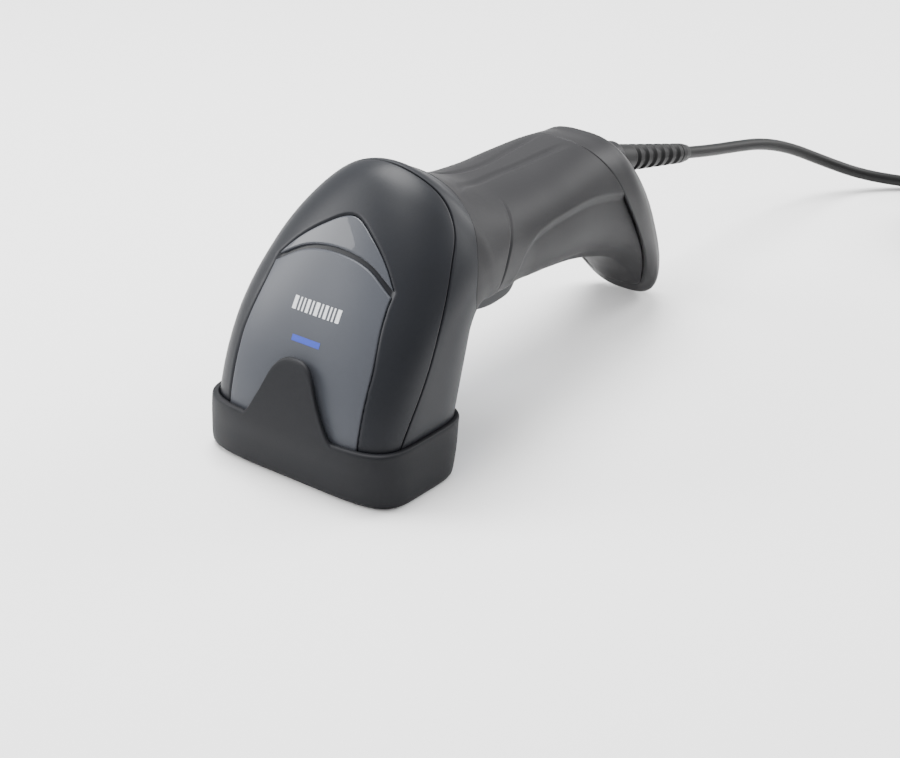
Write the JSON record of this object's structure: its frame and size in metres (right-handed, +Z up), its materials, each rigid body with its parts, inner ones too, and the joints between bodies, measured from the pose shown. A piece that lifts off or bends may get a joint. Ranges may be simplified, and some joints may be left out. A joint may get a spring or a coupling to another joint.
{
  "type": "handheld barcode scanner",
  "caption": "Corded handheld imager with a hooded head, rubber nose bumper, contoured grip, squeeze trigger and a USB lead with its plug.",
  "frame": {"origin": "bottom centre of the scanner's box, on the plane that the bumper's rim and the handle's heel stand on", "axes": "+Z up with the scanner standing on its window rim and heel; +Y from the nose to the heel of the handle; X across, with the middle plane at X = 0"},
  "size_m": [0.1524, 0.3254, 0.0845],
  "materials": {
    "cover_plastic": "fine-textured moulded ABS/PC, near black",
    "body_plastic": "fine-textured moulded ABS/PC, charcoal",
    "badge_plastic": "satin grey moulded plate",
    "indicator_lens": "translucent grey polycarbonate",
    "light_guide": "clear polycarbonate",
    "bumper_rubber": "soft thermoplastic elastomer",
    "grip_rubber": "soft-touch overmould",
    "cap_plastic": "fine-textured moulded plastic",
    "scan_window": "hard-coated red-tinted acrylic",
    "seal_foam": "closed-cell gasket",
    "optics_black": "matt black optical plastic",
    "lens_glass": "coated glass",
    "board_green": "solder-masked glass epoxy",
    "chip_black": "moulded package",
    "led_white": "led package",
    "trigger_black": "satin moulded acetal",
    "trigger_blue": "soft-touch blue inlay",
    "steel": "zinc-plated",
    "plug_steel": "nickel-plated",
    "plug_clear": "clear polycarbonate",
    "cable_jacket": "black PVC jacket",
    "tie_black": "hook-and-loop strap"
  },
  "bodies": {
    "housing": {"front_cover": "cover_plastic", "main_body": "body_plastic", "badge_plate": "badge_plastic", "indicator_lens": "indicator_lens", "light_guide": "light_guide", "nose_bumper": "bumper_rubber", "scan_window": "scan_window", "window_seal": "seal_foam", "grip_sleeve": "grip_rubber", "upper_handle_shell": "body_plastic", "lower_handle_shell": "body_plastic", "housing_screws": "steel", "butt_cap": "cap_plastic", "optics_hood": "optics_black", "imager_module": "optics_black", "lens_barrel": "optics_black", "imager_lens": "lens_glass", "sensor_board": "board_green", "light_board": "board_green", "illumination_leds": "led_white", "indicator_board": "board_green", "indicator_leds": "led_white", "main_board": "board_green", "board_carrier": "body_plastic", "board_screws": "steel", "processor": "chip_black", "board_chips": "chip_black", "beeper": "chip_black", "ribbon_cable": "plug_clear", "trigger_pin": "steel", "trigger_bracket": "steel", "trigger_switch": "chip_black", "trigger_spring": "steel", "cable_socket": "chip_black", "modular_plug": "plug_clear", "lead_core": "cable_jacket", "strain_relief": "cable_jacket", "cable": "cable_jacket", "cable_coil": "cable_jacket", "cable_tie": "tie_black", "usb_plug_body": "cable_jacket", "usb_plug_shell": "plug_steel", "usb_plug_tongue": "plug_clear"},
    "trigger": {"trigger": "trigger_black", "trigger_pad": "trigger_blue"},
    "switch_plunger": {"switch_plunger": "trigger_black"}
  },
  "joints": [
    {"name": "trigger_squeeze", "type": "hinge", "parent": "housing", "child": "trigger", "pos_m": [0, -0.024, 0.045], "axis": [1, 0, 0], "range_deg": [0, 5], "stiffness_Nm_per_rad": 0.35, "springref_deg": -8.59, "deforming": ["trigger_spring"]},
    {"name": "plunger_press", "type": "slide", "parent": "housing", "child": "switch_plunger", "axis": [0, 0, 1], "range_m": [0, 0.00125], "stiffness_N_per_m": 3, "springref_m": -0.0005}
  ],
  "couplings": [
    {"joint": "plunger_press", "follows": "trigger_squeeze", "m_per_rad": 0.014}
  ]
}
